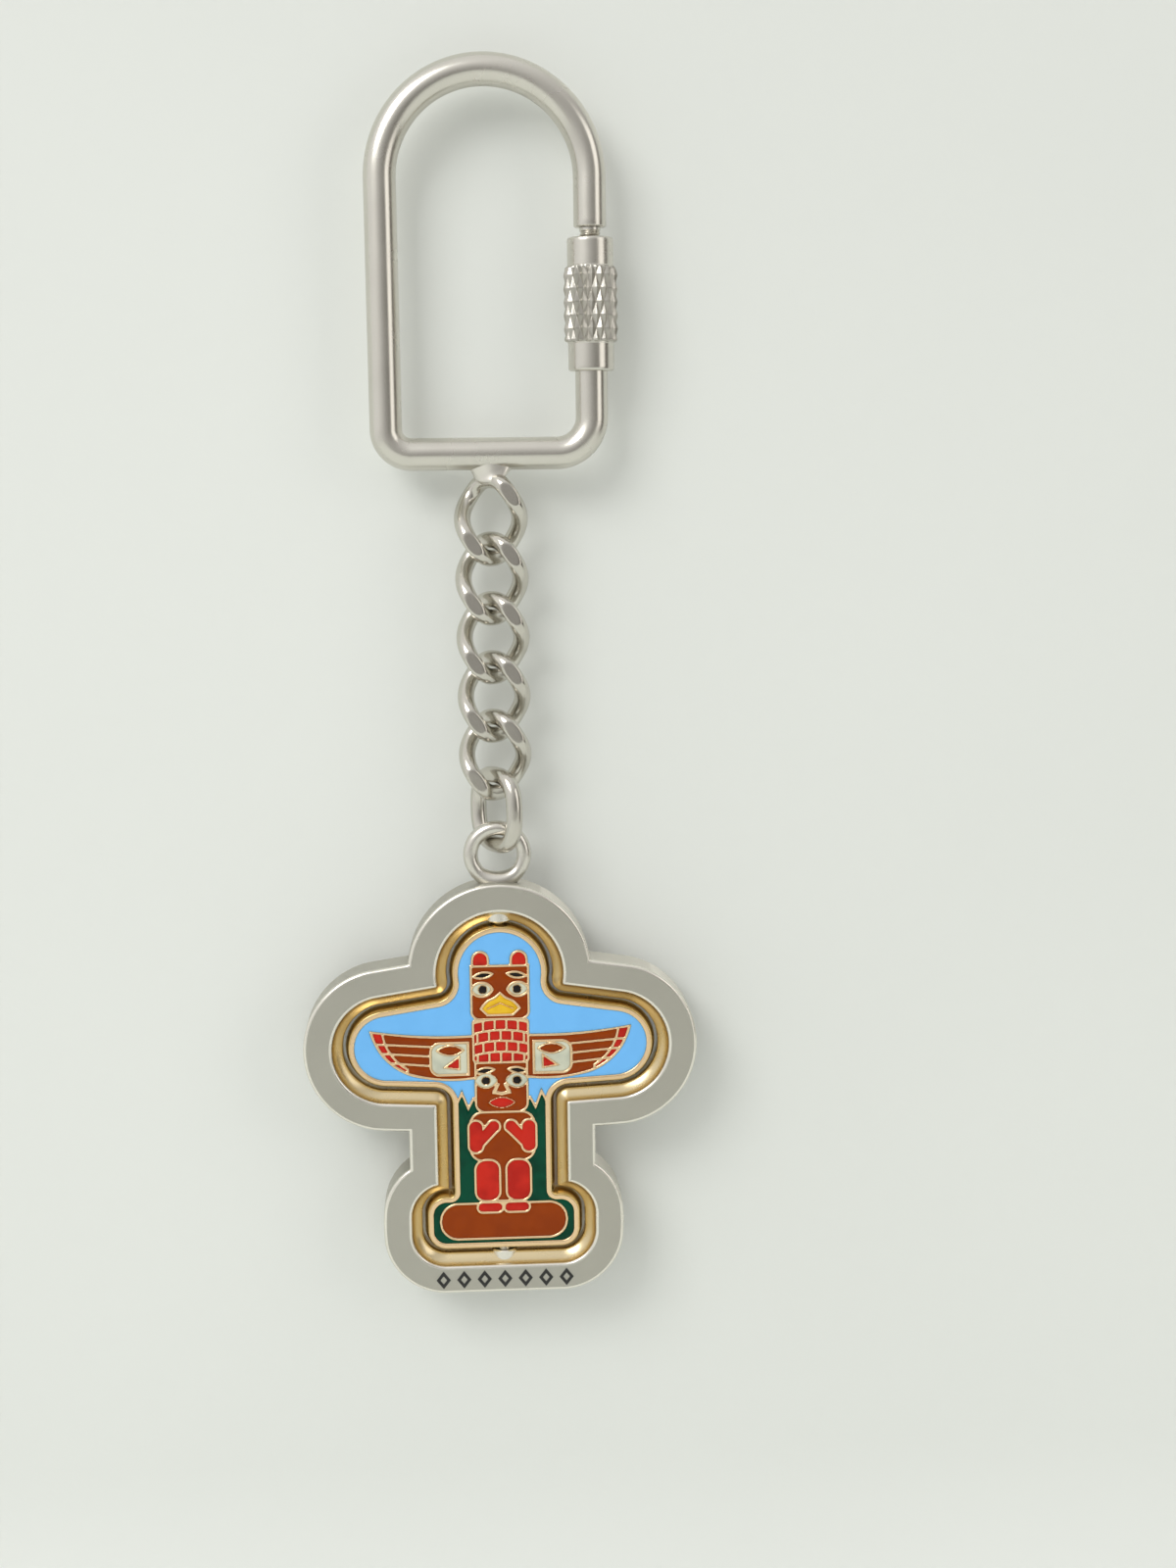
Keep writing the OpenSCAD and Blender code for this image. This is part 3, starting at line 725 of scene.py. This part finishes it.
def cell_field(xs, zs, cells):
    """Signed distance to the nearest enamel cell, + inside, and each grid point's colour number, or -1."""
    reach = np.full((len(zs), len(xs)), REACH)
    colour = np.full((len(zs), len(xs)), -1)
    h = xs[1] - xs[0]
    for number, loops in enumerate(cells):
        inside = np.zeros(colour.shape, bool)
        for loop in loops:
            a, b = loop, np.roll(loop, -1, 0)
            for p, q in zip(a, b):
                i0, i1 = np.searchsorted(xs, (min(p[0], q[0]) - REACH, max(p[0], q[0]) + REACH))
                j0, j1 = np.searchsorted(zs, (min(p[1], q[1]) - REACH, max(p[1], q[1]) + REACH))
                gx, gz = xs[None, i0:i1] - p[0], zs[j0:j1, None] - p[1]
                d = q - p
                t = np.clip((gx * d[0] + gz * d[1]) / (d @ d + 1e-12), 0, 1)
                near = np.hypot(gx - t * d[0], gz - t * d[1])
                reach[j0:j1, i0:i1] = np.minimum(reach[j0:j1, i0:i1], near)
            low, high = loop[:, 1].min(), loop[:, 1].max()
            for j in np.nonzero((zs >= low) & (zs <= high))[0]:
                z = zs[j]
                crossing = (a[:, 1] > z) != (b[:, 1] > z)
                pa, pb = a[crossing], b[crossing]
                at = pa[:, 0] + (z - pa[:, 1]) * (pb[:, 0] - pa[:, 0]) / (pb[:, 1] - pa[:, 1])
                for x in at:
                    inside[j] ^= xs > x
        colour[inside] = number
    field = np.where(colour >= 0, reach, -reach)
    # A grid point this near an edge, as a share of the pitch, counts as on it, which avoids slivers.
    snap = 0.12
    field[np.abs(field) < snap * h] = 0
    return field, colour


def cut(points, tris, value):
    """Splits triangles where value changes sign. Rows of points hold x, z and further values."""
    v = value[tris]
    plus, minus = (v > 0).any(1), (v < 0).any(1)
    mixed = tris[plus & minus]
    kept = [tris[plus & ~minus]], [tris[~plus]]
    if not len(mixed):
        return points, value, kept[0][0], kept[1][0]
    v = value[mixed]
    has_zero = (v == 0).any(1)
    first = np.where(has_zero, np.argmax(v == 0, 1), 0)
    plain = ~has_zero
    ups = (v > 0).sum(1)
    odd = np.where(ups == 1, np.argmax(v > 0, 1), np.argmax(v < 0, 1))
    first[plain] = odd[plain]
    rolled = mixed[np.arange(len(mixed))[:, None], (first[:, None] + np.arange(3)) % 3]
    a, b, c = rolled.T
    edges = np.concatenate([np.stack([a[plain], b[plain]], 1), np.stack([a[plain], c[plain]], 1),
                            np.stack([b[has_zero], c[has_zero]], 1)])
    edges.sort(axis=1)
    unique, where = np.unique(edges, axis=0, return_inverse=True)
    where = where.ravel()
    v0, v1 = value[unique[:, 0]], value[unique[:, 1]]
    t = (v0 / (v0 - v1))[:, None]
    made = points[unique[:, 0]] * (1 - t) + points[unique[:, 1]] * t
    n, m = int(plain.sum()), len(points)
    ab, ac, bc = m + where[:n], m + where[n : 2 * n], m + where[2 * n :]
    points = np.concatenate([points, made])
    old = value
    value = np.concatenate([value, np.zeros(len(made))])
    ap, bp, cp = a[plain], b[plain], c[plain]
    lone = np.stack([ap, ab, ac], 1)
    rest = np.concatenate([np.stack([ab, bp, cp], 1), np.stack([ab, cp, ac], 1)])
    lone_up = old[ap] > 0
    two = np.concatenate([lone_up, lone_up])
    az, bz, cz = a[has_zero], b[has_zero], c[has_zero]
    left, right = np.stack([az, bz, bc], 1), np.stack([az, bc, cz], 1)
    left_up = old[bz] > 0
    kept[0].extend([lone[lone_up], rest[~two], left[left_up], right[~left_up]])
    kept[1].extend([lone[~lone_up], rest[two], left[~left_up], right[left_up]])
    return points, value, np.concatenate(kept[0]), np.concatenate(kept[1])


def solid(points, tris, top, floor):
    """A closed body from flat triangles with a top depth at each point and one floor depth."""
    used, where = np.unique(tris, return_inverse=True)
    tris = where.reshape(-1, 3)
    x, z, y = points[used, 0], points[used, 1], top[used]
    n = len(used)
    upper = np.stack([x, y, z], 1)
    lower = np.stack([x, np.full(n, floor), z], 1)
    edges = np.concatenate([tris[:, [0, 1]], tris[:, [1, 2]], tris[:, [2, 0]]])
    keys = edges[:, 0].astype(np.int64) * n + edges[:, 1]
    back = edges[:, 1].astype(np.int64) * n + edges[:, 0]
    rim = edges[~np.isin(keys, back)]
    a, b = rim.T
    walls = np.concatenate([np.stack([a, a + n, b + n], 1), np.stack([a, b + n, b], 1)])
    return np.concatenate([upper, lower]), np.concatenate([tris, tris[:, ::-1] + n, walls])


def relief(outline, cells):
    """The raised lines and the enamel of one face: points, their triangles, and the depth at each point."""
    lo, hi = box("medallion")
    half = math.ceil((hi.x + GRID) / GRID)
    xs = np.arange(-half, half + 1) * GRID
    zs = lo.z - GRID + np.arange(math.ceil((hi.z - lo.z) / GRID) + 3) * GRID
    field, colour = cell_field(xs, zs, cells)
    border, _ = cell_field(xs, zs, [[outline]])
    columns = len(xs)
    gx, gz = np.meshgrid(xs, zs)
    j, i = np.meshgrid(np.arange(len(zs) - 1), np.arange(columns - 1), indexing="ij")
    p = (j * columns + i).ravel()
    flip = ((i + j) % 2 == 0).ravel()
    quads = np.stack([p, p + 1, p + columns + 1, p + columns], 1)
    even, odd = quads[flip], quads[~flip]
    tris = np.concatenate([even[:, [0, 1, 2]], even[:, [0, 2, 3]], odd[:, [0, 1, 3]], odd[:, [1, 2, 3]]])
    points = np.stack([gx.ravel(), gz.ravel(), field.ravel()], 1)
    points, _, tris, _ = cut(points, tris, border.ravel() - RIM_W)
    field = points[:, 2].copy()
    field[np.abs(field) < 1e-9] = 0
    points, field, cell_tris, line_tris = cut(points, tris, field)
    numbers = np.full(len(points), -1)
    numbers[: gx.size] = colour.ravel()
    owner = numbers[cell_tris].max(1)
    round_off = np.clip(-field / LINE_HALF, 0, 1)
    line_top = hi.y - LINE_FALL * (1 - np.sqrt(1 - (1 - round_off) ** 2))
    dome = np.clip(field / DOME_REACH, 0, 1)
    cell_top = hi.y - LINE_FALL - CELL_DROP + DOME * np.sqrt(np.clip(1 - (1 - dome) ** 2, 0, 1))
    return points, owner, cell_tris, line_tris, line_top, cell_top


def turned(verts, faces, front):
    """A face's solid mirrored in depth for the front, or from left to right for the back."""
    if front:
        return verts * np.array([1, -1, 1]), faces[:, ::-1]
    return verts * np.array([-1, 1, 1]), faces[:, ::-1]


def medallion_body(outline, face, under):
    """The gilt plate: a bevel round each face and a side that bulges out at mid depth."""
    lip, chamfer, rows = 0.02, 0.1, 8
    edge = [(RIM_W, -under), (RIM_W, -face + lip), (RIM_W - lip, -face)]
    edge += [(RIM_W - lip - chamfer * math.sin(t), -face + chamfer * (1 - math.cos(t)))
             for t in (0.3, 0.6, 0.9)]
    start_in, start_y = RIM_W - 0.12, -face + 0.07
    for i in range(rows + 1):
        t = i / rows
        edge.append((start_in - (start_in + RIM_BULGE) * math.sin(t * math.pi / 2), start_y * (1 - t)))
    both = edge + [(d, -y) for d, y in edge[-2::-1]]
    verts = [(x, y, z) for d, y in both for x, z in inset(outline, d)]
    n = len(outline)
    faces = grid_faces(len(both), n)
    faces.append(list(range(n)))
    faces.append(list(range(len(verts) - n, len(verts)))[::-1])
    piece = build("medallion_body", verts, faces, "spinner", [GOLD], 50)
    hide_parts("medallion")


def medallion():
    """The gilt body, and on each face the raised lines and one enamel piece per colour."""
    lo, hi = box("medallion")
    under = abs(box("front_sky")[1].y)
    packed = max(face_loops("medallion", lo.y), key=lambda loop: abs(area(loop)))
    outline = anticlockwise(smooth_loop(packed, RIM_STEP))
    cells = []
    for node in (f"front_{name}" for name in COLOURS):
        cells.append([smooth_loop(loop, CELL_STEP) for loop in face_loops(node, box(node)[0].y)])
    points, owner, cell_tris, line_tris, line_top, cell_top = relief(outline, cells)
    for front in (True, False):
        side = "front" if front else "back"
        verts, faces = turned(*solid(points, line_tris, line_top, under - 0.1), front)
        build(f"{side}_gold_lines", verts, faces, "spinner", [LINES], 50)
        for number, name in enumerate(COLOURS):
            verts, faces = turned(*solid(points, cell_tris[owner == number], cell_top, under), front)
            piece = build(f"{side}_{name}_enamel", verts, faces, "spinner", [PAINT[name]], 50)
            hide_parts(f"{side}_{name}")
    medallion_body(outline, hi.y, under)


ring()
sleeve()
chain()
braze()
frame_casting()
frame_eye()
pin("pin_top")
pin("pin_bottom")
medallion()

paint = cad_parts["frame_paint"]
paint.data.materials.clear()
paint.data.materials.append(INK)


# ---- stage, light and camera ----


def one_sided(tree, principled):
    """Lets the eye through from behind, and lamplight both ways, so that the object's back can be seen."""
    geometry = tree.nodes.new("ShaderNodeNewGeometry")
    clear = tree.nodes.new("ShaderNodeBsdfTransparent")
    mix = tree.nodes.new("ShaderNodeMixShader")
    path = tree.nodes.new("ShaderNodeLightPath")
    either = tree.nodes.new("ShaderNodeMath")
    either.operation = "MAXIMUM"
    tree.links.new(geometry.outputs["Backfacing"], either.inputs[0])
    tree.links.new(path.outputs["Is Shadow Ray"], either.inputs[1])
    tree.links.new(either.outputs["Value"], mix.inputs["Fac"])
    tree.links.new(principled.outputs["BSDF"], mix.inputs[1])
    tree.links.new(clear.outputs["BSDF"], mix.inputs[2])
    tree.links.new(mix.outputs["Shader"], tree.nodes["Material Output"].inputs["Surface"])


def backdrop():
    """A pale wall close behind the object that bends into a pale floor well under it."""
    floor_z, wall_y, steps = cad_box[0].z / MM - FLOOR_DROP, cad_box[1].y / MM + WALL_GAP, 24
    path = [(-FLOOR_DEPTH, floor_z), (wall_y - WALL_BEND, floor_z)]
    for i in range(1, steps + 1):
        t = i / steps * math.pi / 2
        path.append((wall_y - WALL_BEND * (1 - math.sin(t)), floor_z + WALL_BEND * (1 - math.cos(t))))
    path.append((wall_y, WALL_TOP))
    verts = [(x * MM, y * MM, z * MM) for y, z in path for x in (-STAGE_HALF_W, STAGE_HALF_W)]
    faces = [(2 * i, 2 * i + 1, 2 * i + 3, 2 * i + 2) for i in range(len(path) - 1)]
    mesh = bpy.data.meshes.new("backdrop")
    mesh.from_pydata(verts, [], faces)
    material, tree, principled = shader("backdrop_paper", (0.76, 0.77, 0.74), 0.85, specular=0.15)
    tone = ramp(tree, noise(tree, 9, 2.0), (0.715, 0.735, 0.705), (0.745, 0.765, 0.735))
    tree.links.new(tone, principled.inputs["Base Color"])
    bump(tree, principled, noise(tree, 900), 0.05, 0.3)
    one_sided(tree, principled)
    mesh.materials.append(material)
    mesh.polygons.foreach_set("use_smooth", np.ones(len(mesh.polygons), bool))
    piece = bpy.data.objects.new("backdrop", mesh)
    bpy.context.scene.collection.objects.link(piece)


def lamp(name, place, target, size, power, colour):
    """A soft rectangular lamp at a place, turned to its target. Places and sizes are in millimetres."""
    data = bpy.data.lights.new(name, "AREA")
    data.shape = "RECTANGLE"
    data.size, data.size_y = size[0] * MM, size[1] * MM
    data.energy = power
    data.color = colour
    light = bpy.data.objects.new(name, data)
    light.location = Vector(place) * MM
    light.rotation_mode = "QUATERNION"
    light.rotation_quaternion = (Vector(target) - Vector(place)).to_track_quat("-Z", "Y")
    bpy.context.scene.collection.objects.link(light)


def studio():
    """A soft room: bright above and to the left, dimmer below, and pale where the eye sees past the wall."""
    world = bpy.data.worlds.new("studio")
    bpy.context.scene.world = world
    world.use_nodes = True
    tree = world.node_tree
    coords = tree.nodes.new("ShaderNodeTexCoord")
    toward = tree.nodes.new("ShaderNodeVectorMath")
    toward.operation = "DOT_PRODUCT"
    toward.inputs[1].default_value = (-0.62, 0.16, 0.72)
    share = tree.nodes.new("ShaderNodeMath")
    share.operation = "MULTIPLY_ADD"
    share.inputs[1].default_value, share.inputs[2].default_value = 0.5, 0.5
    tree.links.new(coords.outputs["Generated"], toward.inputs[0])
    tree.links.new(toward.outputs["Value"], share.inputs[0])
    room = ramp(tree, share.outputs[0], (0.14, 0.125, 0.105), (1.15, 1.15, 1.14), 0.22, 0.72)
    path = tree.nodes.new("ShaderNodeLightPath")
    mix = tree.nodes.new("ShaderNodeMix")
    mix.data_type = "RGBA"
    seen = next(i for i in mix.inputs if i.name == "B" and i.type == "RGBA")
    unseen = next(i for i in mix.inputs if i.name == "A" and i.type == "RGBA")
    out = next(o for o in mix.outputs if o.type == "RGBA")
    seen.default_value = (0.95, 0.965, 0.93, 1)
    tree.links.new(room, unseen)
    tree.links.new(path.outputs["Is Camera Ray"], mix.inputs["Factor"])
    background = tree.nodes["Background"]
    tree.links.new(out, background.inputs["Color"])
    background.inputs["Strength"].default_value = 0.78


def lights():
    """A key from the upper left, a weak fill from the right, one lamp for the back, and the room."""
    middle = (0, 0, -60)
    lamp("key", (-300, -380, 300), middle, (300, 260), 1.45, (1.0, 0.995, 0.98))
    lamp("fill", (420, -300, 60), middle, (260, 420), 0.45, (1.0, 0.98, 0.95))
    lamp("rear", (200, 420, 160), middle, (300, 300), 1.1, (1.0, 0.99, 0.97))
    studio()


def camera():
    """Looks slightly down at the hanging object, from a little left of the picture's middle."""
    distance, down, aside, roll = 200.0, math.radians(8.84), math.radians(3.17), math.radians(0.68)
    aim = Vector((8.78, 0.0, -64.07))
    back = Vector((-math.sin(aside) * math.cos(down), -math.cos(aside) * math.cos(down), math.sin(down)))
    data = bpy.data.cameras.new("camera")
    data.lens, data.sensor_width = 48.15, 36.0
    data.clip_start, data.clip_end = 0.01, 10.0
    view = bpy.data.objects.new("camera", data)
    view.location = (aim + back * distance) * MM
    view.rotation_mode = "QUATERNION"
    view.rotation_quaternion = (-back).to_track_quat("-Z", "Y") @ Quaternion((0, 0, 1), -roll)
    bpy.context.scene.collection.objects.link(view)
    bpy.context.scene.camera = view


backdrop()
lights()
camera()
bpy.context.scene.view_settings.view_transform = "Standard"
